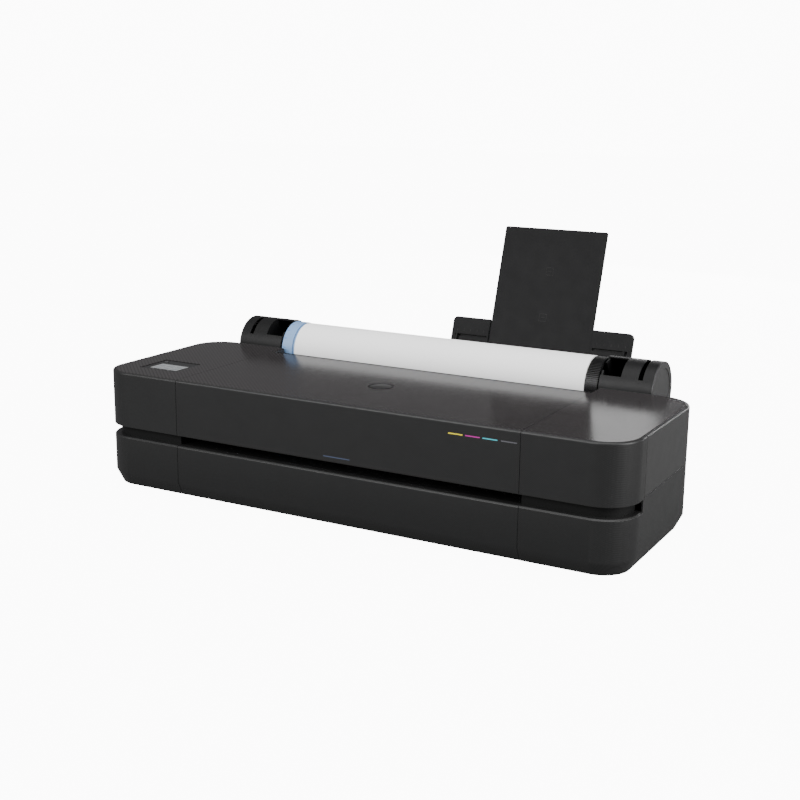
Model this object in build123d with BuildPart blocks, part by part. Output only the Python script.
"""Large format plotter for 24 inch paper, with a roll bay and a sheet feeder behind it.

Units are millimetres. X runs to the operator's right, Y to the rear and Z up.
The origin is under the middle of the whole machine, on the surface it stands on.
"""
from build123d import *
from math import cos, pi, radians, sin
import os

# ---------------------------------------------------------------- driving dimensions
PAPER_WIDTH = 610.0        # the roll the machine is built round
LID_MARGIN = 26.5          # lid seam to paper edge, each side
WING_WIDTH = 175.0         # body outside the lid, each side
BODY_DEPTH = 344.0
FOOT_HEIGHT = 14.0
LOWER_HEIGHT = 93.0        # lower covers, to the lip of the output slot
GAP_HEIGHT = 19.0          # output slot and the groove that carries on round the corners
UPPER_HEIGHT = 101.0       # upper covers, from the slot to the top

CORNER_RADIUS = 60.0
WALL = 3.0
BEVEL_HEIGHT = 24.6        # sloping skirting round the bottom
BEVEL_INSET = 12.0
LIP_CHAMFER = 2.5
TOP_ROUNDING = 4.0         # rounded upper edge of the covers, in three facets
LEDGE = 15.0               # how far the groove goes in
RIM = 4.4                  # cover rim outside the top plates
PLATE_THICKNESS = 3.0
PLATE_GAP = 0.9
PLATE_EDGE = 0.5           # rounding of the top plates' outer edges
SEAM = 0.5                 # visible gap between two covers
SUPPORT_STRIP = 5.0        # ledge that carries a top plate
GROOVE_END = 72.0          # depth where the groove ends on the sides
SIDE_SEAM = 78.0           # depth of the seam between wing cover and side panel
SIDE_STEP = 2.4            # the side seam lies this much above the groove's top edge

LID_BACK_STRIP = 47.0      # body left behind the lid
HINGE_INSET = 12.0         # hinge axis in front of the lid's rear edge
HINGE_EAR_REACH = 9.0
HINGE_DROP = 15.0          # hinge axis below the top
HINGE_PIN_RADIUS = 3.0
RUNNING_FIT = 0.05         # radial clearance of a shaft in its bearing
LID_SIDE_GAP = 0.7

ROLL_RADIUS = 51.0
CORE_OUTER_RADIUS = 28.0
CORE_WALL = 2.5
ROLL_SHIFT = -7.0          # the roll sits a little left of the machine's middle
ROLL_BELOW_TOP = 8.0       # roll axis below the top of the body
HUB_OVERHANG = 1.0         # hub rim outside the paper
LEFT_HUB_WIDTH = 29.0
RIGHT_HUB_WIDTH = 24.0
STUB_RADIUS = 9.0
STUB_LENGTH = 58.0
HOUSING_OVERHANG = 3.5     # housing outside the paper
HOUSING_STANDOFF = 1.0     # housing behind the body
HOUSING_WALL = 2.5
HOUSING_GAP = 2.0          # hub face to housing
HOUSING_LENGTH = 99.0
LOADING_WIDTH = 38.0       # cut-out for lowering the roll in, along the housing
CAP_THICKNESS = 3.0
ARM_INSET = 25.5           # roll cover arm, from the outer end
ARM_THICKNESS = 4.0
ARM_SLOT = 8.4
PIVOT_RADIUS = 6.0
TROUGH_CLEARANCE = 2.0
TROUGH_WALL = 2.0
COVER_CLEARANCE = 2.0      # housing to roll cover
COVER_WALL = 2.5
COVER_START = -70.0        # angles run up from the rear horizontal
COVER_END = 40.0

GEAR_MODULE = 1.1
RING_INSET = 1.5           # drive ring's pitch circle inside the paper's edge
PINION_TEETH = 18
GEAR_BACKLASH = 0.3
PINION_ANGLE = -130.0

TRAY_LEAN = 17.5
TRAY_GAP = 8.0             # roll cover to tray
TRAY_SEAM_OFFSET = 179.5   # tray middle to the right lid seam
TRAY_WIDTH = 368.0
TRAY_TOP = 104.0           # heights up the slope from the point nearest the roll
TRAY_BOTTOM = -74.0
TRAY_SHEET = 2.5
TRAY_CORNER = 9.0
EXTENSION_WIDTH = 209.0
EXTENSION_TOP = 289.0
EXTENSION_BOTTOM = 20.0
EXTENSION_PLAY = 0.5
EXTENSION_WINDOW = 50.0    # the front panel is open over the extension from here up
FEEDER_DROP = 90.6         # feeder base below the roll axis
GUIDE_SLOT_HEIGHT = 68.0
GUIDE_SLOT_HALF = 2.0
GUIDE_SLOT_LENGTH = 68.0
GUIDE_SLOT_INSET = 8.0

# print mechanism: depths run from the front face, offsets from the feed roller and the sheet
SHEET_RISE = 32.0          # sheet above the output lip
FEED_TO_REAR = 88.0
FEED_RADIUS = 12.0
FEED_SHAFT_RADIUS = 6.0
PINCH_RADIUS = 6.0
PINCH_SHAFT_RADIUS = 3.0
EXIT_TO_FEED = 116.0
EXIT_RADIUS = 8.0
EXIT_SHAFT_RADIUS = 4.0
ROD_TO_FEED = 28.0
ROD_RISE = 39.0
ROD_RADIUS = 5.0
RAIL_TO_FEED = 156.0
RAIL_THICKNESS = 4.0
RAIL_RISE = 11.0
CARRIAGE_WIDTH = 80.0
CARRIAGE_LENGTH = 108.0
CARRIAGE_TO_FEED = 18.0
CARRIAGE_BELOW_PLATE = 16.0
PARK_TO_FRAME = 84.5       # parked carriage's middle to the right side frame
PULLEY_RADIUS = 8.0
BELT_TO_FEED = 50.0
BELT_THICKNESS = 1.3
BELT_WIDTH = 6.0
SMALL_GAP = 0.5
FRAME_THICKNESS = 2.0
LEFT_FRAME_INSET = 20.5    # left side frame, outside the lid seam
RIGHT_FRAME_INSET = 22.5   # right side frame, inside the body's end
STEEL_SHEET = 1.5
BUTTON_RADIUS = 6.0
BUTTON_TRAVEL = 1.0

# ---------------------------------------------------------------- worked-out places
LID_HALF = PAPER_WIDTH / 2 + LID_MARGIN
BODY_HALF = LID_HALF + WING_WIDTH
BASE_Z = FOOT_HEIGHT
LIP_Z = BASE_Z + LOWER_HEIGHT
SLOT_TOP_Z = LIP_Z + GAP_HEIGHT
SIDE_Z = SLOT_TOP_Z + SIDE_STEP
TOP_Z = SLOT_TOP_Z + UPPER_HEIGHT
PLATE_Z = TOP_Z - PLATE_THICKNESS
FLOOR_Z = BASE_Z + WALL
LID_DEPTH = BODY_DEPTH - LID_BACK_STRIP
HINGE_DEPTH = LID_DEPTH - HINGE_INSET

HUB_RADIUS = ROLL_RADIUS + HUB_OVERHANG
HOUSING_RADIUS = ROLL_RADIUS + HOUSING_OVERHANG
TROUGH_INNER = ROLL_RADIUS + TROUGH_CLEARANCE
TROUGH_OUTER = TROUGH_INNER + TROUGH_WALL
COVER_INNER = HOUSING_RADIUS + COVER_CLEARANCE
COVER_OUTER = COVER_INNER + COVER_WALL
RING_TEETH = round(2 * (ROLL_RADIUS - RING_INSET) / GEAR_MODULE)

LEAN = radians(TRAY_LEAN)
TRAY_SHIFT = LID_HALF - TRAY_SEAM_OFFSET
TRAY_DISTANCE = COVER_OUTER + TRAY_GAP
EXTENSION_BACK = 2 * TRAY_SHEET + EXTENSION_PLAY
ROLL_DEPTH = BODY_DEPTH + HOUSING_RADIUS + HOUSING_STANDOFF
WHOLE_DEPTH = ROLL_DEPTH + (TRAY_DISTANCE + EXTENSION_BACK) * cos(LEAN) + EXTENSION_TOP * sin(LEAN)
FRONT_Y = -WHOLE_DEPTH / 2
REAR_Y = FRONT_Y + BODY_DEPTH
MIDDLE_Y = FRONT_Y + BODY_DEPTH / 2

ROLL_Y = FRONT_Y + ROLL_DEPTH
ROLL_Z = TOP_Z - ROLL_BELOW_TOP
FEEDER_Z = ROLL_Z - FEEDER_DROP
PAPER_LEFT = ROLL_SHIFT - PAPER_WIDTH / 2
PAPER_RIGHT = ROLL_SHIFT + PAPER_WIDTH / 2
LEFT_INNER = PAPER_LEFT - LEFT_HUB_WIDTH - HOUSING_GAP
RIGHT_INNER = PAPER_RIGHT + RIGHT_HUB_WIDTH + HOUSING_GAP + 2
LEFT_OUTER = LEFT_INNER - HOUSING_LENGTH
RIGHT_OUTER = RIGHT_INNER + HOUSING_LENGTH
LEFT_ARM = LEFT_OUTER + ARM_INSET
RIGHT_ARM = RIGHT_OUTER - ARM_INSET

TRAY_PLANE = Plane(
    origin=(TRAY_SHIFT, ROLL_Y + TRAY_DISTANCE * cos(LEAN), ROLL_Z - TRAY_DISTANCE * sin(LEAN)),
    x_dir=(1, 0, 0),
    z_dir=(0, -cos(LEAN), sin(LEAN)),
)
LEFT_FRAME = -LID_HALF - LEFT_FRAME_INSET
RIGHT_FRAME = BODY_HALF - RIGHT_FRAME_INSET
SHEET_LEVEL = LIP_Z + SHEET_RISE
FEED_DEPTH = BODY_DEPTH - FEED_TO_REAR
EXIT_DEPTH = FEED_DEPTH - EXIT_TO_FEED
ROD_DEPTH = FEED_DEPTH - ROD_TO_FEED
BELT_DEPTH = FEED_DEPTH - BELT_TO_FEED
RAIL_DEPTH = FEED_DEPTH - RAIL_TO_FEED
CARRIAGE_REAR = FEED_DEPTH - CARRIAGE_TO_FEED
CARRIAGE_FRONT = CARRIAGE_REAR - CARRIAGE_LENGTH
CARRIAGE_TOP = PLATE_Z - CARRIAGE_BELOW_PLATE
ROD_HEIGHT = SHEET_LEVEL + ROD_RISE
RAIL_BOTTOM = SHEET_LEVEL + RAIL_RISE
RAIL_TOP = CARRIAGE_TOP - 8.0
FEED_Z = SHEET_LEVEL - FEED_RADIUS
PINCH_Z = SHEET_LEVEL + 0.3 + PINCH_RADIUS
EXIT_Z = SHEET_LEVEL - EXIT_RADIUS
PARK_X = RIGHT_FRAME - PARK_TO_FRAME
MOTOR_PULLEY_X = RIGHT_FRAME - 18.0
IDLER_PULLEY_X = LEFT_FRAME + 14.0
PULLEY_Z = CARRIAGE_TOP + 2.0
PITCH_RING = GEAR_MODULE * RING_TEETH / 2
PITCH_PINION = GEAR_MODULE * PINION_TEETH / 2
GEAR_DISTANCE = PITCH_RING + PITCH_PINION + GEAR_BACKLASH
PINION_Y = ROLL_Y + GEAR_DISTANCE * cos(radians(PINION_ANGLE))
PINION_Z = ROLL_Z + GEAR_DISTANCE * sin(radians(PINION_ANGLE))

PANEL_X = (-BODY_HALF + 49.5, -BODY_HALF + 131.5)
PANEL_Y = (FRONT_Y + 54.0, FRONT_Y + 132.0)
SCREEN_X = (PANEL_X[0] + 13.0, PANEL_X[1] - 7.0)
SCREEN_Y = (PANEL_Y[0] + 12.0, PANEL_Y[0] + 51.0)
BUTTON_X = PANEL_X[0] + 11.0
BUTTON_Y = PANEL_Y[1] - 13.0

# sockets at the back of the left wing
SOCKET_Z = (BASE_Z + 46.0, BASE_Z + 66.0)
INLET_X = (-BODY_HALF + 62.0, -BODY_HALF + 90.0)
PORTS_X = (-LID_HALF - 71.0, -LID_HALF - 23.0)
SOCKET_PLAY = 0.3

os.makedirs("parts", exist_ok=True)


def keep(builder, label):
    """Name a finished piece and write its file."""
    builder.part.label = label
    export_step(builder.part, f"parts/{label}.step")


def block(x, y, z, mode=Mode.ADD):
    """A straight block between two limits on each axis."""
    with Locations(((x[0] + x[1]) / 2, (y[0] + y[1]) / 2, (z[0] + z[1]) / 2)):
        Box(x[1] - x[0], y[1] - y[0], z[1] - z[0], mode=mode)


def bar(x, y, z, radius, mode=Mode.ADD):
    """A round bar along X."""
    with BuildSketch(Plane.YZ.offset(x[0])) as section:
        with Locations((y, z)):
            Circle(radius)
    extrude(section.sketch, amount=x[1] - x[0], mode=mode)


def post(x, y, z, radius, mode=Mode.ADD):
    """A round post along Z."""
    with BuildSketch(Plane.XY.offset(z[0])) as section:
        with Locations((x, y)):
            Circle(radius)
    extrude(section.sketch, amount=z[1] - z[0], mode=mode)


def slab(inset, z, mode=Mode.ADD):
    """The body's rounded footprint, drawn in by an inset, between two heights."""
    with BuildSketch(Plane.XY.offset(z[0])) as outline:
        with Locations((0, MIDDLE_Y)):
            RectangleRounded(2 * (BODY_HALF - inset), BODY_DEPTH - 2 * inset, CORNER_RADIUS - inset)
    extrude(outline.sketch, amount=z[1] - z[0], mode=mode)


def sloped_slab(low_inset, high_inset, z):
    """The footprint growing or shrinking evenly between two heights."""
    outlines = []
    for inset, height in ((low_inset, z[0]), (high_inset, z[1])):
        with BuildSketch(Plane.XY.offset(height)) as outline:
            with Locations((0, MIDDLE_Y)):
                RectangleRounded(2 * (BODY_HALF - inset), BODY_DEPTH - 2 * inset, CORNER_RADIUS - inset)
        outlines.append(outline.sketch.face())
    loft(sections=outlines)


def rounded_top(low):
    """The footprint from a height up to the top, with a faceted rounding at its upper edge."""
    steps = [radians(angle) for angle in (0, 30, 60, 90)]
    insets = [TOP_ROUNDING * (1 - cos(step)) for step in steps]
    heights = [TOP_Z - TOP_ROUNDING * (1 - sin(step)) for step in steps]
    slab(0, (low, heights[0]))
    for index in range(3):
        sloped_slab(insets[index], insets[index + 1], (heights[index], heights[index + 1]))


def round_outer_edges(plate):
    """Round a top plate's upper edges, apart from the straight ones at the lid's seams."""
    upper = plate.faces().sort_by(Axis.Z)[-1].edges()
    seams = upper.filter_by(Axis.Y).filter_by_position(Axis.X, -LID_HALF - 1, LID_HALF + 1)
    fillet([edge for edge in upper if edge not in seams], PLATE_EDGE)


def only(x, y=(-1000, 1000), z=(-1000, 1000)):
    """Keep only what lies between these limits."""
    block(x, y, z, mode=Mode.INTERSECT)


def wedge(start, end, reach):
    """Corners of a pie slice between two angles."""
    angles = [radians(start + (end - start) * step / 4) for step in range(5)]
    return [(0, 0)] + [(reach * cos(angle), reach * sin(angle)) for angle in angles]


def arc_sheet(x, inner, outer, start, end, mode=Mode.ADD):
    """A curved sheet about the roll's axis."""
    with BuildSketch(Plane.YZ.offset(x[0])) as section:
        with Locations((ROLL_Y, ROLL_Z)):
            Circle(outer)
            if inner > 0:
                Circle(inner, mode=Mode.SUBTRACT)
            Polygon(*wedge(start, end, 2.5 * outer), align=None, mode=Mode.INTERSECT)
    extrude(section.sketch, amount=x[1] - x[0], mode=mode)


def turned(profile, y, z):
    """Revolve (x, radius) corners about an axis along X."""
    plane = Plane(origin=(0, y, z), x_dir=(1, 0, 0), z_dir=(0, -1, 0))
    with BuildSketch(plane) as half:
        Polygon(*profile, align=None)
    revolve(half.sketch, axis=Axis((0, y, z), (1, 0, 0)))


def side_outline(x, points, mode=Mode.ADD):
    """A plate with an outline of (depth, height) corners, between two X limits."""
    with BuildSketch(Plane.YZ.offset(x[0])) as outline:
        Polygon(*[(FRONT_Y + depth, height) for depth, height in points], align=None)
    extrude(outline.sketch, amount=x[1] - x[0], mode=mode)


def bent_sheet(x, points, thickness):
    """Sheet metal bent through (depth, height) points, thickened below its line."""
    with BuildSketch(Plane.YZ.offset(x[0])) as section:
        with BuildLine():
            Polyline(*[(FRONT_Y + depth, height) for depth, height in points])
            offset(amount=thickness, side=Side.RIGHT)
        make_face()
    extrude(section.sketch, amount=x[1] - x[0])


def tray_block(x, up, out, mode=Mode.ADD):
    """A block on the tray's slope: across, up the slope, and out towards the roll."""
    with BuildSketch(TRAY_PLANE.offset(out[0])) as outline:
        with Locations(((x[0] + x[1]) / 2, (up[0] + up[1]) / 2)):
            Rectangle(x[1] - x[0], up[1] - up[0])
    extrude(outline.sketch, amount=out[1] - out[0], mode=mode)


def tray_bar(x, up, out, radius, mode=Mode.ADD):
    """A round bar across the tray."""
    y = TRAY_PLANE.origin.Y + up * sin(LEAN) - out * cos(LEAN)
    z = TRAY_PLANE.origin.Z + up * cos(LEAN) + out * sin(LEAN)
    bar((TRAY_SHIFT + x[0], TRAY_SHIFT + x[1]), y, z, radius, mode)


def depth(start, end):
    """Y limits of a span measured from the front face."""
    return (FRONT_Y + start, FRONT_Y + end)


def shrunk(span, play):
    """A span drawn in by the same amount at both ends."""
    return (span[0] + play, span[1] - play)


# ---------------------------------------------------------------- lower covers
def lower_shell():
    """The tub with its sloping skirting, chamfered lip and the groove's lower ledge."""
    sloped_slab(BEVEL_INSET, 0, (BASE_Z, BASE_Z + BEVEL_HEIGHT))
    slab(0, (BASE_Z + BEVEL_HEIGHT, LIP_Z - LIP_CHAMFER))
    sloped_slab(0, LIP_CHAMFER, (LIP_Z - LIP_CHAMFER, LIP_Z))
    with BuildSketch(Plane.XY.offset(LIP_Z - LIP_CHAMFER)) as tall:
        with Locations((0, MIDDLE_Y)):
            RectangleRounded(2 * BODY_HALF, BODY_DEPTH, CORNER_RADIUS)
        with Locations((0, FRONT_Y + GROOVE_END)):
            Rectangle(3 * BODY_HALF, 2 * BODY_DEPTH, align=(Align.CENTER, Align.MIN), mode=Mode.INTERSECT)
    extrude(tall.sketch, amount=SIDE_Z - SEAM - LIP_Z + LIP_CHAMFER)
    slab(BEVEL_INSET + WALL, (FLOOR_Z, BASE_Z + BEVEL_HEIGHT), Mode.SUBTRACT)
    slab(WALL, (BASE_Z + BEVEL_HEIGHT, LIP_Z - WALL), Mode.SUBTRACT)
    slab(LEDGE, (LIP_Z - WALL, LIP_Z), Mode.SUBTRACT)
    block((-BODY_HALF, BODY_HALF), depth(GROOVE_END, SIDE_SEAM), (SLOT_TOP_Z - SEAM, SIDE_Z), Mode.SUBTRACT)
    slab(WALL, (LIP_Z, SIDE_Z), Mode.SUBTRACT)


with BuildPart() as lower_left_cover:
    lower_shell()
    only((-BODY_HALF - 1, -LID_HALF - SEAM / 2))
    for socket in (INLET_X, PORTS_X):
        block(socket, depth(BODY_DEPTH - 2 * WALL, BODY_DEPTH + 1), SOCKET_Z, Mode.SUBTRACT)
keep(lower_left_cover, "lower_left_cover")

with BuildPart() as lower_center_cover:
    lower_shell()
    only((-LID_HALF + SEAM / 2, LID_HALF - SEAM / 2))
keep(lower_center_cover, "lower_center_cover")

with BuildPart() as lower_right_cover:
    lower_shell()
    only((LID_HALF + SEAM / 2, BODY_HALF + 1))
keep(lower_right_cover, "lower_right_cover")


# ---------------------------------------------------------------- upper covers
def upper_shell(low):
    """The upper wall with its chamfered rim and the ledge that carries the top plates."""
    rounded_top(low)
    slab(LEDGE, (low, low + WALL), Mode.SUBTRACT)
    slab(WALL, (low + WALL, PLATE_Z - WALL), Mode.SUBTRACT)
    slab(RIM + SUPPORT_STRIP, (PLATE_Z - WALL, PLATE_Z), Mode.SUBTRACT)
    slab(RIM, (PLATE_Z, TOP_Z), Mode.SUBTRACT)


WING_SIDES = {
    "left": (-BODY_HALF - 1, -LID_HALF - LID_SIDE_GAP / 2),
    "right": (LID_HALF + LID_SIDE_GAP / 2, BODY_HALF + 1),
}

with BuildPart() as upper_left_cover:
    upper_shell(SLOT_TOP_Z)
    only(WING_SIDES["left"], depth(-1, SIDE_SEAM - SEAM / 2))
keep(upper_left_cover, "upper_left_cover")

with BuildPart() as upper_right_cover:
    upper_shell(SLOT_TOP_Z)
    only(WING_SIDES["right"], depth(-1, SIDE_SEAM - SEAM / 2))
keep(upper_right_cover, "upper_right_cover")


def side_panel(side, outward):
    """Side wall, rear corner and the inner wall that carries the lid's hinge pin."""
    upper_shell(SIDE_Z)
    only(WING_SIDES[side], depth(SIDE_SEAM + SEAM / 2, BODY_DEPTH + 1))
    inner = outward * (LID_HALF + LID_SIDE_GAP / 2)
    outer = inner + outward * WALL
    wall_x = (min(inner, outer), max(inner, outer))
    block(wall_x, depth(HINGE_DEPTH - HINGE_EAR_REACH, BODY_DEPTH), (SIDE_Z, PLATE_Z))
    tip = inner - outward * 5
    bar((min(tip, outer), max(tip, outer)), FRONT_Y + HINGE_DEPTH, TOP_Z - HINGE_DROP, HINGE_PIN_RADIUS)


with BuildPart() as left_side_panel:
    side_panel("left", -1)
keep(left_side_panel, "left_side_panel")

with BuildPart() as right_side_panel:
    side_panel("right", 1)
keep(right_side_panel, "right_side_panel")

with BuildPart() as left_top_plate:
    slab(RIM + PLATE_GAP, (PLATE_Z, TOP_Z))
    only(WING_SIDES["left"])
    block(PANEL_X, PANEL_Y, (PLATE_Z - 1, TOP_Z + 1), Mode.SUBTRACT)
    round_outer_edges(left_top_plate)
keep(left_top_plate, "left_top_plate")

with BuildPart() as right_top_plate:
    slab(RIM + PLATE_GAP, (PLATE_Z, TOP_Z))
    only(WING_SIDES["right"])
    round_outer_edges(right_top_plate)
keep(right_top_plate, "right_top_plate")

# dark band at the back of the groove, with a return wall at each side of the output slot
with BuildPart() as groove_liners:
    slab(LEDGE - WALL, (LIP_Z, SLOT_TOP_Z))
    slab(LEDGE, (LIP_Z - 1, SLOT_TOP_Z + 1), Mode.SUBTRACT)
    only((-BODY_HALF, BODY_HALF), depth(0, GROOVE_END))
    block((-LID_HALF, LID_HALF), depth(-1, GROOVE_END + 1), (LIP_Z - 1, SLOT_TOP_Z + 1), Mode.SUBTRACT)
    for outward in (-1, 1):
        edge = sorted((outward * LID_HALF, outward * (LID_HALF + WALL)))
        block(edge, depth(LEDGE - WALL, RAIL_DEPTH - 6), (LIP_Z, SLOT_TOP_Z))
keep(groove_liners, "groove_liners")

with BuildPart() as output_ramp:
    bent_sheet(
        (-LID_HALF + SEAM, LID_HALF - SEAM),
        [(LEDGE + SEAM, LIP_Z), (60, LIP_Z), (EXIT_DEPTH - EXIT_RADIUS - 3, SHEET_LEVEL - 3)],
        TRAY_SHEET,
    )
    for web in (-PAPER_WIDTH / 2, 0, PAPER_WIDTH / 2):
        block((web - 2, web + 2), depth(22, 40), (FLOOR_Z, LIP_Z - TRAY_SHEET))
keep(output_ramp, "output_ramp")

# ---------------------------------------------------------------- lid
LID_X = (-LID_HALF + LID_SIDE_GAP / 2, LID_HALF - LID_SIDE_GAP / 2)
EAR_THICKNESS = 3.0

with BuildPart() as lid_frame:
    rounded_top(SLOT_TOP_Z)
    slab(WALL, (SLOT_TOP_Z - 1, PLATE_Z - WALL), Mode.SUBTRACT)
    slab(RIM, (PLATE_Z, TOP_Z + 1), Mode.SUBTRACT)
    only(LID_X, depth(-1, LID_DEPTH))
    block(
        (LID_X[0] + 14, LID_X[1] - 14), depth(RIM + 20, LID_DEPTH - 30), (PLATE_Z - WALL - 1, TOP_Z),
        Mode.SUBTRACT,
    )
    for edge, inward in ((LID_X[0], 1), (LID_X[1], -1)):
        ear = sorted((edge, edge + inward * EAR_THICKNESS))
        ear_y = depth(HINGE_DEPTH - HINGE_EAR_REACH, LID_DEPTH - 2)
        block(ear, ear_y, (TOP_Z - HINGE_DROP - 8, PLATE_Z - WALL))
        gusset = sorted((edge, edge + inward * WALL))
        block(gusset, depth(WALL, 14), (SLOT_TOP_Z, PLATE_Z - WALL))
    for rib in (-180, -60, 60):
        block((rib - 1.5, rib + 1.5), depth(WALL, 12), (SLOT_TOP_Z + 6, PLATE_Z - WALL))
    pin_hole = HINGE_PIN_RADIUS + RUNNING_FIT
    bar((-BODY_HALF, BODY_HALF), FRONT_Y + HINGE_DEPTH, TOP_Z - HINGE_DROP, pin_hole, Mode.SUBTRACT)
keep(lid_frame, "lid_frame")

with BuildPart() as lid_panel:
    slab(RIM + PLATE_GAP, (PLATE_Z, TOP_Z))
    only(LID_X, depth(0, LID_DEPTH))
    round_outer_edges(lid_panel)
keep(lid_panel, "lid_panel")

# ---------------------------------------------------------------- control panel
PANEL_PLAY = 0.3
SCREEN_PLAY = 0.1

with BuildPart() as control_panel:
    block(shrunk(PANEL_X, PANEL_PLAY), shrunk(PANEL_Y, PANEL_PLAY), (PLATE_Z - 9, TOP_Z - 1))
    fillet(control_panel.edges().filter_by(Axis.Z), 3)
    block(shrunk(PANEL_X, WALL), shrunk(PANEL_Y, WALL), (PLATE_Z - 10, PLATE_Z - 2), Mode.SUBTRACT)
    block(SCREEN_X, SCREEN_Y, (PLATE_Z - 10, TOP_Z), Mode.SUBTRACT)
    post(BUTTON_X, BUTTON_Y, (PLATE_Z - 10, TOP_Z), BUTTON_RADIUS + 0.4, Mode.SUBTRACT)
keep(control_panel, "control_panel")

with BuildPart() as display:
    block(shrunk(SCREEN_X, SCREEN_PLAY), shrunk(SCREEN_Y, SCREEN_PLAY), (PLATE_Z - 5, TOP_Z - 1.4))
keep(display, "display")

with BuildPart() as power_button:
    post(BUTTON_X, BUTTON_Y, (PLATE_Z - 4, TOP_Z - 0.6), BUTTON_RADIUS)
    fillet(power_button.faces().sort_by(Axis.Z)[-1].edges(), 0.8)
keep(power_button, "power_button")

# ---------------------------------------------------------------- roll bay
with BuildPart() as rear_cover:
    block((-LID_HALF, LID_HALF), depth(BODY_DEPTH - WALL, BODY_DEPTH), (SIDE_Z, ROLL_Z - 15))
    block(
        (TRAY_SHIFT - TRAY_WIDTH / 2 + 8, TRAY_SHIFT + TRAY_WIDTH / 2 - 8),
        depth(BODY_DEPTH - 2 * WALL, BODY_DEPTH + 1), (FEEDER_Z + 6, FEEDER_Z + 20), Mode.SUBTRACT,
    )
    arc_sheet((PAPER_LEFT + 1, PAPER_RIGHT - 1), TROUGH_INNER, TROUGH_OUTER, -158, -62)
    joining_lip = depth(BODY_DEPTH - 1, BODY_DEPTH + 6)
    block((PAPER_LEFT + 1, PAPER_RIGHT - 1), joining_lip, (ROLL_Z - 23, ROLL_Z - 20))
keep(rear_cover, "rear_cover")


def housing(inner, outer, arm):
    """Round end housing with the arm slot, the loading cut-out, the bearing wall and a partition."""
    direction = 1 if outer > inner else -1
    end = outer - direction * CAP_THICKNESS
    span = sorted((inner, end))
    bearing = sorted((inner, inner + direction * WALL))
    saddle = [
        (BODY_DEPTH + 0.2, ROLL_Z - HOUSING_RADIUS - 1.5), (BODY_DEPTH + 32, ROLL_Z - HOUSING_RADIUS - 1.5),
        (BODY_DEPTH + 32, ROLL_Z - 40), (BODY_DEPTH + 12, ROLL_Z), (BODY_DEPTH + 0.2, ROLL_Z),
    ]
    side_outline(span, saddle)
    bar(span, ROLL_Y, ROLL_Z, HOUSING_RADIUS)
    bar(span, ROLL_Y, ROLL_Z, HOUSING_RADIUS - HOUSING_WALL, Mode.SUBTRACT)
    bar(bearing, ROLL_Y, ROLL_Z, HOUSING_RADIUS - HOUSING_WALL / 2)
    partition = sorted((inner + direction * LOADING_WIDTH, inner + direction * (LOADING_WIDTH + WALL)))
    bar(partition, ROLL_Y, ROLL_Z, HOUSING_RADIUS - HOUSING_WALL / 2)
    bar((bearing[0] - 1, bearing[1] + 1), ROLL_Y, ROLL_Z, STUB_RADIUS + RUNNING_FIT, Mode.SUBTRACT)
    with BuildSketch(Plane.YZ.offset(bearing[0] - 1)) as mouth:
        with Locations((ROLL_Y, ROLL_Z)):
            mouth_width = 2 * (STUB_RADIUS + RUNNING_FIT)
            Rectangle(2 * HOUSING_RADIUS, mouth_width, rotation=125, align=(Align.MIN, Align.CENTER))
    extrude(mouth.sketch, amount=WALL + 2, mode=Mode.SUBTRACT)
    opening = sorted((inner - direction, inner + direction * LOADING_WIDTH))
    arc_sheet(opening, HOUSING_RADIUS - HOUSING_WALL - 2, HOUSING_RADIUS + 5, 95, 148, Mode.SUBTRACT)
    slot = (arm - ARM_SLOT / 2, arm + ARM_SLOT / 2)
    arc_sheet(slot, HOUSING_RADIUS - HOUSING_WALL - 2, HOUSING_RADIUS + 5, -36, 150, Mode.SUBTRACT)


def end_cap(outer, arm, direction):
    """Disc that closes a housing, with a recessed face and the roll cover's pivot pin."""
    face = outer - direction * CAP_THICKNESS
    disc = sorted((outer, face))
    bar(disc, ROLL_Y, ROLL_Z, HOUSING_RADIUS)
    bar(sorted((outer, outer - direction)), ROLL_Y, ROLL_Z, HOUSING_RADIUS - 12, Mode.SUBTRACT)
    pin_end = arm - direction * (ARM_THICKNESS / 2 + 2)
    bar(sorted((face, pin_end)), ROLL_Y, ROLL_Z, PIVOT_RADIUS)


with BuildPart() as left_housing:
    housing(LEFT_INNER, LEFT_OUTER, LEFT_ARM)
keep(left_housing, "left_housing")

MOTOR_RADIUS = 9.0
MOTOR_X = (RIGHT_INNER + 4, RIGHT_INNER + 46)

with BuildPart() as right_housing:
    housing(RIGHT_INNER, RIGHT_OUTER, RIGHT_ARM)
    bar((RIGHT_INNER - 1, MOTOR_X[1] + SMALL_GAP), PINION_Y, PINION_Z, MOTOR_RADIUS + 0.3, Mode.SUBTRACT)
keep(right_housing, "right_housing")

with BuildPart() as left_end_cap:
    end_cap(LEFT_OUTER, LEFT_ARM, -1)
keep(left_end_cap, "left_end_cap")

with BuildPart() as right_end_cap:
    end_cap(RIGHT_OUTER, RIGHT_ARM, 1)
keep(right_end_cap, "right_end_cap")

with BuildPart() as roll_cover:
    span = (LEFT_ARM - ARM_THICKNESS / 2, RIGHT_ARM + ARM_THICKNESS / 2)
    arc_sheet(span, COVER_INNER, COVER_OUTER, COVER_START, COVER_END)
    for arm in (LEFT_ARM, RIGHT_ARM):
        width = (arm - ARM_THICKNESS / 2, arm + ARM_THICKNESS / 2)
        arc_sheet(width, 0, COVER_INNER + 1, -27, -3)
        bar(width, ROLL_Y, ROLL_Z, PIVOT_RADIUS + 6)
        bar(width, ROLL_Y, ROLL_Z, PIVOT_RADIUS + RUNNING_FIT, Mode.SUBTRACT)
keep(roll_cover, "roll_cover")

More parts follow.
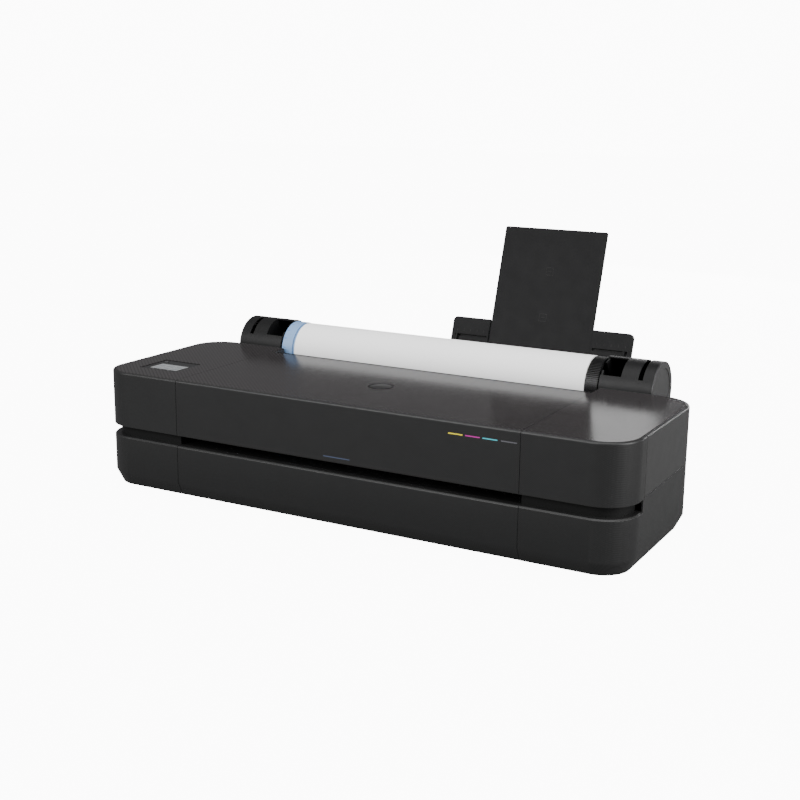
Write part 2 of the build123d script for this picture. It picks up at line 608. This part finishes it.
with BuildPart() as paper_roll:
    bar((PAPER_LEFT, PAPER_RIGHT), ROLL_Y, ROLL_Z, ROLL_RADIUS)
    bar((PAPER_LEFT, PAPER_RIGHT), ROLL_Y, ROLL_Z, CORE_OUTER_RADIUS, Mode.SUBTRACT)
keep(paper_roll, "paper_roll")

CORE_INNER_RADIUS = CORE_OUTER_RADIUS - CORE_WALL

with BuildPart() as roll_core:
    bar((PAPER_LEFT, PAPER_RIGHT), ROLL_Y, ROLL_Z, CORE_OUTER_RADIUS)
    bar((PAPER_LEFT, PAPER_RIGHT), ROLL_Y, ROLL_Z, CORE_INNER_RADIUS, Mode.SUBTRACT)
keep(roll_core, "roll_core")

with BuildPart() as left_hub:
    face = PAPER_LEFT - LEFT_HUB_WIDTH
    turned(
        [
            (PAPER_LEFT + 40, 0), (PAPER_LEFT + 40, CORE_INNER_RADIUS - 2),
            (PAPER_LEFT + 36, CORE_INNER_RADIUS), (PAPER_LEFT, CORE_INNER_RADIUS),
            (PAPER_LEFT, ROLL_RADIUS - 2), (PAPER_LEFT - 5, ROLL_RADIUS - 2),
            (PAPER_LEFT - 5, HUB_RADIUS), (face + 1, HUB_RADIUS),
            (face, HUB_RADIUS - 1), (face, HUB_RADIUS - 6),
            (face + 14, HUB_RADIUS - 8), (face + 14, STUB_RADIUS + 6), (face + 2, STUB_RADIUS + 5),
            (face + 2, STUB_RADIUS), (PAPER_LEFT - STUB_LENGTH, STUB_RADIUS), (PAPER_LEFT - STUB_LENGTH, 0),
        ],
        ROLL_Y, ROLL_Z,
    )
keep(left_hub, "left_hub")

TOOTH_RISE = 2.5


def toothed_disc(x, y, z, pitch, teeth, turn):
    """Straight-toothed disc along X with slim trapezoid teeth."""
    root = pitch - TOOTH_RISE + 1.1
    tip = pitch + 1.1
    with BuildSketch(Plane.YZ.offset(x[0])) as outline:
        with Locations(Location((y, z), turn)):
            Circle(root + 0.05)
            with PolarLocations(0, teeth):
                Polygon((root - 0.5, -1.05), (tip, -0.5), (tip, 0.5), (root - 0.5, 1.05), align=None)
    extrude(outline.sketch, amount=x[1] - x[0])


with BuildPart() as right_hub:
    face = PAPER_RIGHT + RIGHT_HUB_WIDTH
    turn = PINION_ANGLE + 180 / RING_TEETH
    toothed_disc((PAPER_RIGHT + 2, face), ROLL_Y, ROLL_Z, PITCH_RING, RING_TEETH, turn)
    bar((face - 16, face + 1), ROLL_Y, ROLL_Z, HUB_RADIUS - 10, Mode.SUBTRACT)
    turned(
        [
            (PAPER_RIGHT - 40, 0), (PAPER_RIGHT - 40, CORE_INNER_RADIUS - 2),
            (PAPER_RIGHT - 36, CORE_INNER_RADIUS), (PAPER_RIGHT, CORE_INNER_RADIUS),
            (PAPER_RIGHT, ROLL_RADIUS - 3), (PAPER_RIGHT + 2, ROLL_RADIUS - 3),
            (PAPER_RIGHT + 8, 20), (face - 12, 20), (face - 12, 30), (face - 8, 30), (face - 8, 17),
            (face, 15), (face, STUB_RADIUS),
            (PAPER_RIGHT + STUB_LENGTH, STUB_RADIUS), (PAPER_RIGHT + STUB_LENGTH, 0),
        ],
        ROLL_Y, ROLL_Z,
    )
keep(right_hub, "right_hub")

SHAFT_RADIUS = 2.0

with BuildPart() as roll_pinion:
    pinion_x = (PAPER_RIGHT + 4, PAPER_RIGHT + 22)
    toothed_disc(pinion_x, PINION_Y, PINION_Z, PITCH_PINION, PINION_TEETH, PINION_ANGLE + 180)
    bar((PAPER_RIGHT + 3, PAPER_RIGHT + 23), PINION_Y, PINION_Z, SHAFT_RADIUS + RUNNING_FIT, Mode.SUBTRACT)
keep(roll_pinion, "roll_pinion")

with BuildPart() as paper_entry_guide:
    bent_sheet(
        (-LID_HALF + 6, LID_HALF - 6),
        [
            (FEED_DEPTH + 16, SHEET_LEVEL + 1), (FEED_DEPTH + 36, SHEET_LEVEL + 4),
            (BODY_DEPTH - 11, SHEET_LEVEL + 23), (BODY_DEPTH - 11, PLATE_Z - 38),
            (BODY_DEPTH - 35, PLATE_Z - 10), (BODY_DEPTH - 35, TOP_Z - 2),
        ],
        2.0,
    )
keep(paper_entry_guide, "paper_entry_guide")

# ---------------------------------------------------------------- sheet feeder
HALF_TRAY = TRAY_WIDTH / 2
POCKET_FRONT = -TRAY_SHEET
POCKET_BACK = -TRAY_SHEET * 2 - 2 * EXTENSION_PLAY
HALF_POCKET = EXTENSION_WIDTH / 2 + EXTENSION_PLAY
SLOT_CENTRE = HALF_TRAY - GUIDE_SLOT_INSET - GUIDE_SLOT_LENGTH / 2
GUIDE_SLOT_UP = (GUIDE_SLOT_HEIGHT - GUIDE_SLOT_HALF, GUIDE_SLOT_HEIGHT + GUIDE_SLOT_HALF)


def tray_panel(out):
    """Wide panel with rounded top corners."""
    with BuildSketch(TRAY_PLANE.offset(out[0])) as outline:
        with Locations((0, (TRAY_TOP + TRAY_BOTTOM) / 2)):
            Rectangle(TRAY_WIDTH, TRAY_TOP - TRAY_BOTTOM)
        fillet(outline.vertices().group_by(Axis.Y)[-1], TRAY_CORNER)
    extrude(outline.sketch, amount=out[1] - out[0])


with BuildPart() as tray_front_panel:
    tray_panel((POCKET_FRONT, 0))
    for side in (-1, 1):
        tray_block(
            (side * SLOT_CENTRE - GUIDE_SLOT_LENGTH / 2, side * SLOT_CENTRE + GUIDE_SLOT_LENGTH / 2),
            GUIDE_SLOT_UP, (POCKET_FRONT - 1, 1), Mode.SUBTRACT,
        )
    window = (EXTENSION_WINDOW, TRAY_TOP + 1)
    tray_block((-HALF_POCKET, HALF_POCKET), window, (POCKET_FRONT - 1, 1), Mode.SUBTRACT)
keep(tray_front_panel, "tray_front_panel")

with BuildPart() as tray_back_panel:
    tray_panel((POCKET_BACK - TRAY_SHEET, POCKET_FRONT))
    pocket = (TRAY_BOTTOM - 1, TRAY_TOP + 1)
    tray_block((-HALF_POCKET, HALF_POCKET), pocket, (POCKET_BACK, POCKET_FRONT), Mode.SUBTRACT)
    for side in (-1, 1):
        tray_block(
            (side * SLOT_CENTRE - GUIDE_SLOT_LENGTH / 2, side * SLOT_CENTRE + GUIDE_SLOT_LENGTH / 2),
            GUIDE_SLOT_UP, (POCKET_FRONT - 2, POCKET_FRONT + 1), Mode.SUBTRACT,
        )
keep(tray_back_panel, "tray_back_panel")

with BuildPart() as tray_extension:
    with BuildSketch(TRAY_PLANE.offset(POCKET_FRONT - EXTENSION_PLAY - TRAY_SHEET)) as sheet:
        with Locations((0, (EXTENSION_TOP + EXTENSION_BOTTOM) / 2)):
            Rectangle(EXTENSION_WIDTH, EXTENSION_TOP - EXTENSION_BOTTOM)
        fillet(sheet.vertices().group_by(Axis.Y)[-1], 4)
    extrude(amount=TRAY_SHEET)
    fillet(tray_extension.faces().sort_by(Axis.Z)[-1].edges().filter_by(Axis.X), 0.6)
keep(tray_extension, "tray_extension")

GUIDE_THICKNESS = 4.0
GUIDE_INSET = 3.0
GUIDE_REACH = 5.0
GUIDE_PLAY = 0.4


def sheet_guide(side):
    """Edge guide with a fin in front of the tray and a foot in the tray's slot."""
    outer = side * (HALF_TRAY - GUIDE_SLOT_INSET - GUIDE_INSET)
    inner = outer - side * GUIDE_THICKNESS
    x = sorted((outer, inner))
    foot = shrunk(GUIDE_SLOT_UP, GUIDE_PLAY)
    tray_block(x, (8, foot[1]), (SMALL_GAP, GUIDE_REACH))
    tray_block(x, foot, (POCKET_FRONT - 1, SMALL_GAP))


with BuildPart() as left_sheet_guide:
    sheet_guide(-1)
keep(left_sheet_guide, "left_sheet_guide")

with BuildPart() as right_sheet_guide:
    sheet_guide(1)
keep(right_sheet_guide, "right_sheet_guide")

PICKUP_UP = -46.0
PICKUP_RADIUS = 10.0
PICKUP_OUT = PICKUP_RADIUS + SMALL_GAP
PICKUP_SHAFT = 3.5
CHEEK = 3.0

with BuildPart() as feeder_base:
    tray_foot_y = TRAY_PLANE.origin.Y + TRAY_BOTTOM * sin(LEAN) - FRONT_Y
    tray_foot_z = TRAY_PLANE.origin.Z + TRAY_BOTTOM * cos(LEAN)
    for side in (-1, 1):
        edge = TRAY_SHIFT + side * (HALF_TRAY + SMALL_GAP / 2)
        cheek = sorted((edge, edge + side * CHEEK))
        side_outline(
            cheek,
            [
                (BODY_DEPTH + 0.3, FEEDER_Z + 2), (tray_foot_y + 6, FEEDER_Z - 4),
                (tray_foot_y + 14, FEEDER_Z + 4), (tray_foot_y + 36, FEEDER_Z + 74),
                (tray_foot_y + 22, FEEDER_Z + 74), (tray_foot_y + 6, FEEDER_Z + 46),
                (tray_foot_y - 16, FEEDER_Z + 33), (tray_foot_y - 34, FEEDER_Z + 25),
                (BODY_DEPTH + 0.3, FEEDER_Z + 24),
            ],
        )
    across = (TRAY_SHIFT - HALF_TRAY - SMALL_GAP, TRAY_SHIFT + HALF_TRAY + SMALL_GAP)
    block(across, depth(BODY_DEPTH + 0.3, tray_foot_y - 4), (FEEDER_Z + 2, FEEDER_Z + 4.5))
    block(across, depth(BODY_DEPTH + 0.3, BODY_DEPTH + 52), (FEEDER_Z + 21.5, FEEDER_Z + 24))
    bearing = PICKUP_SHAFT + RUNNING_FIT
    tray_bar((-HALF_TRAY - 9, HALF_TRAY + 9), PICKUP_UP, PICKUP_OUT, bearing, Mode.SUBTRACT)
keep(feeder_base, "feeder_base")

with BuildPart() as pickup_roller:
    tray_bar((-HALF_TRAY - 2, HALF_TRAY + 2), PICKUP_UP, PICKUP_OUT, PICKUP_SHAFT)
    for middle in (-95, 0, 95):
        tray_bar((middle - 18, middle + 18), PICKUP_UP, PICKUP_OUT, PICKUP_RADIUS)
keep(pickup_roller, "pickup_roller")

# ---------------------------------------------------------------- chassis and print mechanism
PAN_DEPTH = depth(43, FEED_DEPTH + 46)

with BuildPart() as base_pan:
    block((-BODY_HALF + 36.5, RIGHT_FRAME + 2), PAN_DEPTH, (FLOOR_Z, FLOOR_Z + STEEL_SHEET))
    for y in (PAN_DEPTH[0], PAN_DEPTH[1] - STEEL_SHEET):
        block((-BODY_HALF + 54.5, RIGHT_FRAME - 14), (y, y + STEEL_SHEET), (FLOOR_Z, FLOOR_Z + 12))
keep(base_pan, "base_pan")

PAN_TOP = FLOOR_Z + STEEL_SHEET

with BuildPart() as side_frames:
    for frame in (LEFT_FRAME, RIGHT_FRAME):
        outline = [
            (RAIL_DEPTH - 4, PAN_TOP), (FEED_DEPTH + 44, PAN_TOP), (FEED_DEPTH + 44, SHEET_LEVEL + 31),
            (FEED_DEPTH + 6, PLATE_Z - 14), (RAIL_DEPTH - 4, PLATE_Z - 14),
        ]
        plate = (frame, frame + FRAME_THICKNESS)
        side_outline(plate, outline)
        cut = (frame - 1, frame + FRAME_THICKNESS + 1)
        bar(cut, FRONT_Y + FEED_DEPTH, FEED_Z, FEED_SHAFT_RADIUS + RUNNING_FIT, Mode.SUBTRACT)
        bar(cut, FRONT_Y + FEED_DEPTH, PINCH_Z, PINCH_SHAFT_RADIUS + RUNNING_FIT, Mode.SUBTRACT)
        bar(cut, FRONT_Y + EXIT_DEPTH, EXIT_Z, EXIT_SHAFT_RADIUS + RUNNING_FIT, Mode.SUBTRACT)
        window = depth(FEED_DEPTH - 86, FEED_DEPTH - 21)
        block(cut, window, (PAN_TOP + 21.5, FEED_Z - 32), Mode.SUBTRACT)
    idler_shelf = depth(BELT_DEPTH - 7, BELT_DEPTH + 7)
    block((LEFT_FRAME, IDLER_PULLEY_X + 6), idler_shelf, (PULLEY_Z - 5.5, PULLEY_Z - 2.5))
    post(IDLER_PULLEY_X, FRONT_Y + BELT_DEPTH, (PULLEY_Z - 4, PULLEY_Z + 8), SHAFT_RADIUS)
    motor_shelf = depth(BELT_DEPTH - 16, BELT_DEPTH + 16)
    block((RIGHT_FRAME - 33, RIGHT_FRAME + 1), motor_shelf, (PULLEY_Z - 4.5, PULLEY_Z - 2.5))
    post(MOTOR_PULLEY_X, FRONT_Y + BELT_DEPTH, (PULLEY_Z - 6, PULLEY_Z), SHAFT_RADIUS, Mode.SUBTRACT)
keep(side_frames, "side_frames")

with BuildPart() as carriage_rod:
    bar((LEFT_FRAME + FRAME_THICKNESS, RIGHT_FRAME), FRONT_Y + ROD_DEPTH, ROD_HEIGHT, ROD_RADIUS)
keep(carriage_rod, "carriage_rod")

with BuildPart() as carriage_rail:
    rail_x = (LEFT_FRAME + FRAME_THICKNESS, RIGHT_FRAME)
    block(rail_x, depth(RAIL_DEPTH, RAIL_DEPTH + RAIL_THICKNESS), (RAIL_BOTTOM, RAIL_TOP))
    block(rail_x, depth(RAIL_DEPTH - 10, RAIL_DEPTH), (RAIL_TOP - 20, RAIL_TOP - 17))
keep(carriage_rail, "carriage_rail")

with BuildPart() as platen:
    platen_x = (-LID_HALF - 6, PARK_X - 62)
    platen_y = depth(EXIT_DEPTH + EXIT_RADIUS + 2, FEED_DEPTH - FEED_RADIUS - 2)
    block(platen_x, platen_y, (SHEET_LEVEL - 8, SHEET_LEVEL))
    rib_count = 23
    rib_pitch = PAPER_WIDTH / rib_count
    with GridLocations(rib_pitch, 1, rib_count, 1):
        with Locations((0, FRONT_Y + FEED_DEPTH - 62, SHEET_LEVEL - 1)):
            Box(rib_pitch - 6, 70, 2, mode=Mode.SUBTRACT)
    for web in (-PAPER_WIDTH / 2 + 10, 0, PAPER_WIDTH / 2 - 10):
        block((web - 2, web + 2), depth(FEED_DEPTH - 96, FEED_DEPTH - 26), (PAN_TOP, SHEET_LEVEL - 8))
keep(platen, "platen")

RUBBER_INSET = 8.0
AXLE_X = (LEFT_FRAME, RIGHT_FRAME + FRAME_THICKNESS)

with BuildPart() as feed_roller:
    bar(AXLE_X, FRONT_Y + FEED_DEPTH, FEED_Z, FEED_SHAFT_RADIUS)
    bar((PAPER_LEFT - RUBBER_INSET, PAPER_RIGHT + RUBBER_INSET), FRONT_Y + FEED_DEPTH, FEED_Z, FEED_RADIUS)
keep(feed_roller, "feed_roller")

ROLLER_COUNT = 8
ROLLER_STEP = PAPER_WIDTH / ROLLER_COUNT
ROLLER_PLACES = [PAPER_LEFT + ROLLER_STEP * (index + 0.5) for index in range(ROLLER_COUNT)]

with BuildPart() as pinch_rollers:
    bar(AXLE_X, FRONT_Y + FEED_DEPTH, PINCH_Z, PINCH_SHAFT_RADIUS)
    for middle in ROLLER_PLACES:
        bar((middle - 20, middle + 20), FRONT_Y + FEED_DEPTH, PINCH_Z, PINCH_RADIUS)
keep(pinch_rollers, "pinch_rollers")

with BuildPart() as exit_roller:
    bar(AXLE_X, FRONT_Y + EXIT_DEPTH, EXIT_Z, EXIT_SHAFT_RADIUS)
    for middle in ROLLER_PLACES:
        bar((middle - 10, middle + 10), FRONT_Y + EXIT_DEPTH, EXIT_Z, EXIT_RADIUS)
keep(exit_roller, "exit_roller")

CARRIAGE_X = (PARK_X - CARRIAGE_WIDTH / 2, PARK_X + CARRIAGE_WIDTH / 2)
BELT_FRONT = BELT_DEPTH - PULLEY_RADIUS - BELT_THICKNESS
HEAD_BOTTOM = SHEET_LEVEL + 2.5

with BuildPart() as print_carriage:
    block(CARRIAGE_X, depth(CARRIAGE_FRONT, CARRIAGE_REAR), (HEAD_BOTTOM + 2, CARRIAGE_TOP))
    fillet(print_carriage.edges().filter_by(Axis.Z), 4)
    block(
        shrunk(CARRIAGE_X, 4), depth(CARRIAGE_FRONT + 5, ROD_DEPTH - 38),
        (CARRIAGE_TOP - 30, CARRIAGE_TOP + 1), Mode.SUBTRACT,
    )
    rail_hook = depth(RAIL_DEPTH - 2, CARRIAGE_FRONT + 1)
    block(shrunk(CARRIAGE_X, 12), rail_hook, (RAIL_TOP + SMALL_GAP, CARRIAGE_TOP - 1))
    block((PARK_X - 10, PARK_X + 10), depth(BELT_FRONT - 3, BELT_FRONT + 4.5), (CARRIAGE_TOP, PULLEY_Z + 7))
    block(
        (PARK_X - 11, PARK_X + 11), depth(BELT_FRONT - 0.3, BELT_FRONT + BELT_THICKNESS + 0.3),
        (PULLEY_Z - 0.5, PULLEY_Z + 8), Mode.SUBTRACT,
    )
    bar(shrunk(CARRIAGE_X, -1), FRONT_Y + ROD_DEPTH, ROD_HEIGHT, ROD_RADIUS + RUNNING_FIT, Mode.SUBTRACT)
keep(print_carriage, "print_carriage")

with BuildPart() as printhead:
    head_y = depth(CARRIAGE_FRONT + 30, CARRIAGE_REAR - 16)
    block((PARK_X - 30, PARK_X + 30), head_y, (HEAD_BOTTOM, HEAD_BOTTOM + 2))
keep(printhead, "printhead")

with BuildPart() as drive_belt:
    with BuildSketch(Plane.XY.offset(PULLEY_Z)):
        with Locations(((MOTOR_PULLEY_X + IDLER_PULLEY_X) / 2, FRONT_Y + BELT_DEPTH)):
            SlotCenterToCenter(MOTOR_PULLEY_X - IDLER_PULLEY_X, 2 * (PULLEY_RADIUS + BELT_THICKNESS))
            SlotCenterToCenter(MOTOR_PULLEY_X - IDLER_PULLEY_X, 2 * PULLEY_RADIUS, mode=Mode.SUBTRACT)
    extrude(amount=BELT_WIDTH)
keep(drive_belt, "drive_belt")


def belt_pulley(x):
    """Flanged pulley that turns on a vertical shaft inside the belt."""
    y = FRONT_Y + BELT_DEPTH
    flange = PULLEY_RADIUS + 1.5
    top = PULLEY_Z + BELT_WIDTH
    post(x, y, (PULLEY_Z - 0.5, top + 1.5), PULLEY_RADIUS - 0.3)
    post(x, y, (PULLEY_Z - 1.6, PULLEY_Z - 0.5), flange)
    post(x, y, (top + 0.5, top + 1.6), flange)
    post(x, y, (PULLEY_Z - 3, top + 3), SHAFT_RADIUS + RUNNING_FIT, Mode.SUBTRACT)


with BuildPart() as motor_pulley:
    belt_pulley(MOTOR_PULLEY_X)
keep(motor_pulley, "motor_pulley")

with BuildPart() as idler_pulley:
    belt_pulley(IDLER_PULLEY_X)
keep(idler_pulley, "idler_pulley")

# the motors of the carriage belt, the feed roller and the roll, each with its shaft
with BuildPart() as drive_motors:
    post(MOTOR_PULLEY_X, FRONT_Y + BELT_DEPTH, (PULLEY_Z - 46, PULLEY_Z - 4.5), 14)
    post(MOTOR_PULLEY_X, FRONT_Y + BELT_DEPTH, (PULLEY_Z - 5, PULLEY_Z + 8), SHAFT_RADIUS)
    bar((LEFT_FRAME - 36, LEFT_FRAME - SMALL_GAP), FRONT_Y + FEED_DEPTH, FEED_Z, 18)
    bar((LEFT_FRAME - 44, LEFT_FRAME - 36), FRONT_Y + FEED_DEPTH, FEED_Z, 8)
    bar(MOTOR_X, PINION_Y, PINION_Z, MOTOR_RADIUS)
    bar((PAPER_RIGHT + 2, MOTOR_X[0]), PINION_Y, PINION_Z, SHAFT_RADIUS)
keep(drive_motors, "drive_motors")

CUTTER_X = (PAPER_LEFT - 22, PAPER_LEFT + 2)

with BuildPart() as paper_cutter:
    block(CUTTER_X, depth(RAIL_DEPTH - 5, CARRIAGE_FRONT - 5), (SHEET_LEVEL + 3, RAIL_BOTTOM + 22))
    rail_slot = depth(RAIL_DEPTH - SMALL_GAP, RAIL_DEPTH + RAIL_THICKNESS + SMALL_GAP)
    block(shrunk(CUTTER_X, -1), rail_slot, (RAIL_BOTTOM - SMALL_GAP, RAIL_BOTTOM + 23), Mode.SUBTRACT)
    fillet(paper_cutter.edges().filter_by(Axis.X).group_by(Axis.Y)[-1], 3)
keep(paper_cutter, "paper_cutter")

STATION_X = (PARK_X - 45, PARK_X + 45)
STATION_Y = depth(EXIT_DEPTH + 10, FEED_DEPTH - FEED_RADIUS - 8)

with BuildPart() as service_station:
    block(STATION_X, STATION_Y, (PAN_TOP, SHEET_LEVEL - 11))
    block(
        (STATION_X[0] + 2.5, STATION_X[1] - 2.5), (STATION_Y[0] + 2.5, STATION_Y[1] - 2.5),
        (PAN_TOP + 2.5, SHEET_LEVEL), Mode.SUBTRACT,
    )
keep(service_station, "service_station")

with BuildPart() as capping_sled:
    block(
        (STATION_X[0] + 4, STATION_X[1] - 4), (STATION_Y[0] + 4, STATION_Y[1] - 4),
        (SHEET_LEVEL - 30, HEAD_BOTTOM - 0.6),
    )
    block(
        (STATION_X[0] + 18, STATION_X[1] - 18), (STATION_Y[0] + 12, STATION_Y[1] - 12),
        (HEAD_BOTTOM - 6, HEAD_BOTTOM), Mode.SUBTRACT,
    )
keep(capping_sled, "capping_sled")

INK_COUNT = 4
INK_PITCH = 30.0
INK_RIGHT = LID_HALF - 6
DOCK_X = (INK_RIGHT - INK_COUNT * INK_PITCH - 3, INK_RIGHT)
DOCK_Y = depth(16, RAIL_DEPTH - 14)
DOCK_Z = (SLOT_TOP_Z + 2, SLOT_TOP_Z + 26)

with BuildPart() as ink_dock:
    block(DOCK_X, DOCK_Y, DOCK_Z)
    block((INK_RIGHT - 2, LID_HALF + WALL), depth(30, RAIL_DEPTH - 20), (SLOT_TOP_Z, SLOT_TOP_Z + 2))
    for bay in range(INK_COUNT):
        low = DOCK_X[0] + 3 + bay * INK_PITCH
        block((low, low + INK_PITCH - 3), shrunk(DOCK_Y, 2.5), (DOCK_Z[0] + 3, DOCK_Z[1] + 1), Mode.SUBTRACT)
keep(ink_dock, "ink_dock")

with BuildPart() as ink_cartridges:
    for bay in range(INK_COUNT):
        low = DOCK_X[0] + 3 + bay * INK_PITCH + SMALL_GAP / 2
        case_x = (low, low + INK_PITCH - 3 - SMALL_GAP)
        block(case_x, shrunk(DOCK_Y, 3), (DOCK_Z[0] + 3.2, PLATE_Z - 12))
    fillet(ink_cartridges.edges().filter_by(Axis.Z), 2)
keep(ink_cartridges, "ink_cartridges")

# ---------------------------------------------------------------- electronics
BOARD_Z = SLOT_TOP_Z + 24.0
BOARD_TOP = BOARD_Z + 1.6
BOARD_REAR = BODY_DEPTH - 54.0
# block components: distance from the body's end and from the board's rear, width, depth, height
COMPONENTS = (
    (36.5, 130, 34, 34, 5),
    (81.5, 120, 22, 22, 3),
    (38.5, 75, 26, 14, 8),
    (78.5, 55, 30, 18, 10),
    (41.5, 28, 18, 18, 14),
)

with BuildPart() as main_board:
    block((-BODY_HALF + 22, LEFT_FRAME - 50), depth(BOARD_REAR - 160, BOARD_REAR), (BOARD_Z, BOARD_TOP))
    for across, behind, width, length, height in COMPONENTS:
        x = -BODY_HALF + across
        y = BOARD_REAR - behind
        span_y = depth(y - length / 2, y + length / 2)
        block((x - width / 2, x + width / 2), span_y, (BOARD_TOP, BOARD_TOP + height))
    for x in (-BODY_HALF + 28.5, -BODY_HALF + 96.5):
        for y in (BOARD_REAR - 150, BOARD_REAR - 10):
            post(x, FRONT_Y + y, (PAN_TOP, BOARD_Z), 3)
keep(main_board, "main_board")

with BuildPart() as power_supply:
    supply_y = depth(BOARD_REAR - 140, BOARD_REAR - 20)
    block((-BODY_HALF + 34, LEFT_FRAME - 54), supply_y, (PAN_TOP, PAN_TOP + 42))
keep(power_supply, "power_supply")

with BuildPart() as power_inlet:
    inlet_x = shrunk(INLET_X, SOCKET_PLAY)
    block(inlet_x, depth(BODY_DEPTH - 22, BODY_DEPTH + 1.5), shrunk(SOCKET_Z, SOCKET_PLAY))
    block(shrunk(inlet_x, 3), depth(BODY_DEPTH - 16, BODY_DEPTH + 2), shrunk(SOCKET_Z, 3), Mode.SUBTRACT)
    for pin in (-7, 0, 7):
        middle = (inlet_x[0] + inlet_x[1]) / 2 + pin
        block((middle - 1, middle + 1), depth(BODY_DEPTH - 17, BODY_DEPTH - 2), shrunk(SOCKET_Z, 7))
keep(power_inlet, "power_inlet")

with BuildPart() as rear_ports:
    port_x = shrunk(PORTS_X, SOCKET_PLAY)
    mouth_y = depth(BODY_DEPTH - 15, BODY_DEPTH + 1)
    block(port_x, depth(BODY_DEPTH - 20, BODY_DEPTH + 0.5), shrunk(SOCKET_Z, SOCKET_PLAY))
    block((port_x[0] + 4, port_x[0] + 20), mouth_y, shrunk(SOCKET_Z, 3), Mode.SUBTRACT)
    block((port_x[1] - 17, port_x[1] - 5), mouth_y, shrunk(SOCKET_Z, 4.5), Mode.SUBTRACT)
keep(rear_ports, "rear_ports")

FOOT_PLACES = [(x, y) for x in (-BODY_HALF + 86, 0, BODY_HALF - 86) for y in (60, BODY_DEPTH - 44)]

with BuildPart() as rubber_feet:
    with BuildSketch(Plane.XY):
        with Locations(*[(x, FRONT_Y + y) for x, y in FOOT_PLACES]):
            Circle(13)
    extrude(amount=FOOT_HEIGHT)
    chamfer(rubber_feet.faces().filter_by(Plane.XY).group_by(Axis.Z)[0].edges(), 1)
keep(rubber_feet, "rubber_feet")

SCREW_PLACES = [(x, z) for x in (-BODY_HALF + 70, BODY_HALF - 70) for z in (BASE_Z + 36, SIDE_Z + 16.6)]

with BuildPart() as cover_screws:
    with BuildSketch(Plane.XZ.offset(-REAR_Y)):
        with Locations(*SCREW_PLACES):
            Circle(4)
    extrude(amount=-2)
    with BuildSketch(Plane.XZ.offset(-REAR_Y - 2)):
        with Locations(*SCREW_PLACES):
            Rectangle(1, 5)
            Rectangle(5, 1)
    extrude(amount=1, mode=Mode.SUBTRACT)
keep(cover_screws, "cover_screws")
